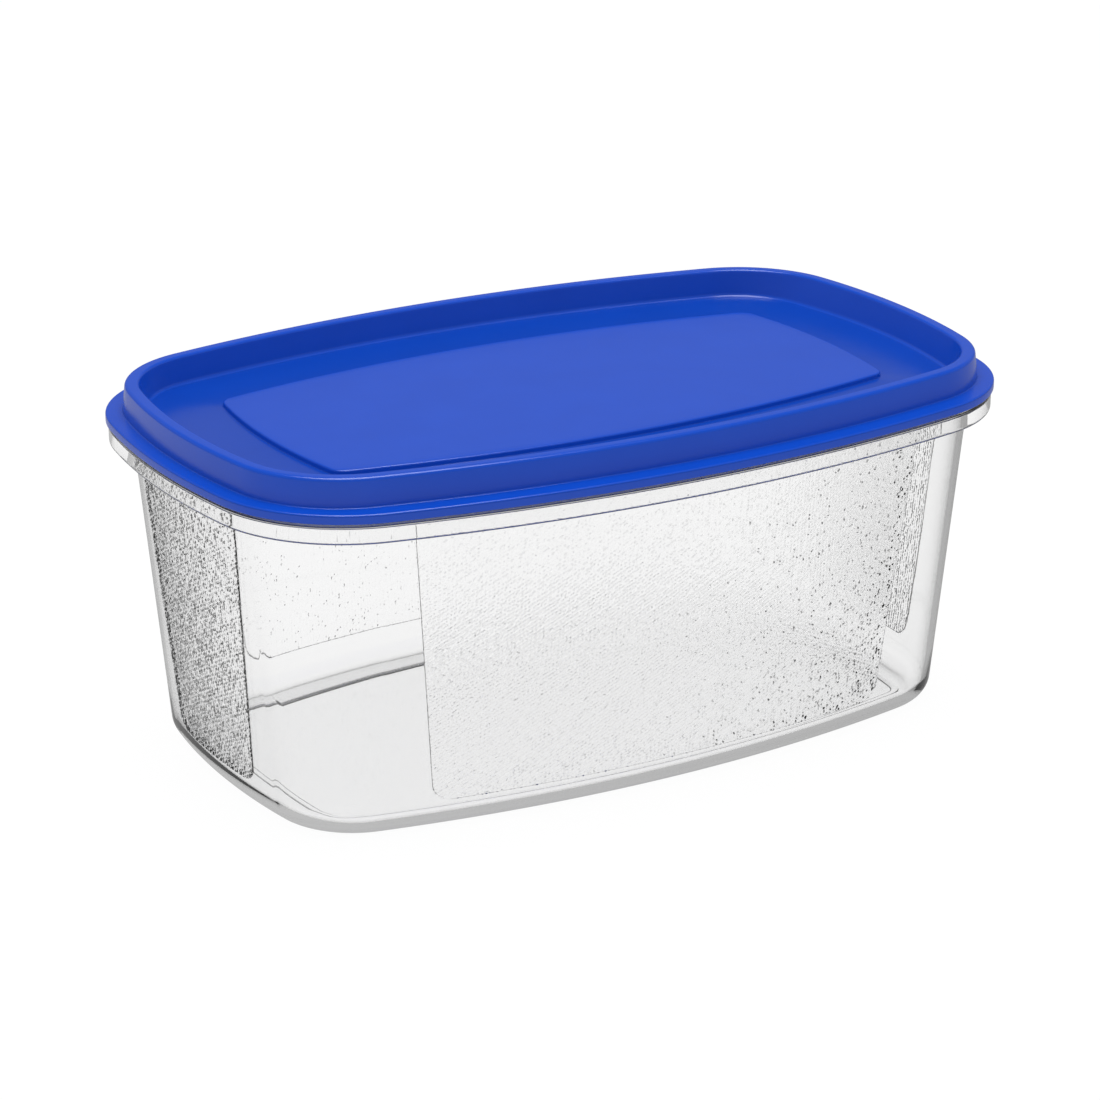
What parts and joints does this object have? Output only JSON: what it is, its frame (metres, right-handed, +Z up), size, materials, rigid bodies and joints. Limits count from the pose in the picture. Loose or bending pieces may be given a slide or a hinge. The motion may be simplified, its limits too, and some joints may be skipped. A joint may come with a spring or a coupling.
{
  "type": "snap lid food container",
  "caption": "Clear rectangular food tub with bowed sides, rounded corners and textured side panels, closed by a blue snap lid with a raised rim and a recessed top.",
  "frame": {"origin": "centre of the ring of the tub's foot that it stands on", "axes": "+Z up out of the tub's mouth, +X along the long side, +Y along the short side"},
  "size_m": [0.21, 0.1334, 0.0896],
  "materials": {
    "clear_plastic": "clear, glossy",
    "blue_plastic": "satin, with a fine grain on the top panels"
  },
  "bodies": {
    "tub": {"tub": "clear_plastic"},
    "lid": {"lid": "blue_plastic"}
  },
  "joints": [
    {"name": "lid_lift", "type": "slide", "parent": "tub", "child": "lid", "axis": [0, 0, 1], "range_m": [0, 0.06]}
  ]
}
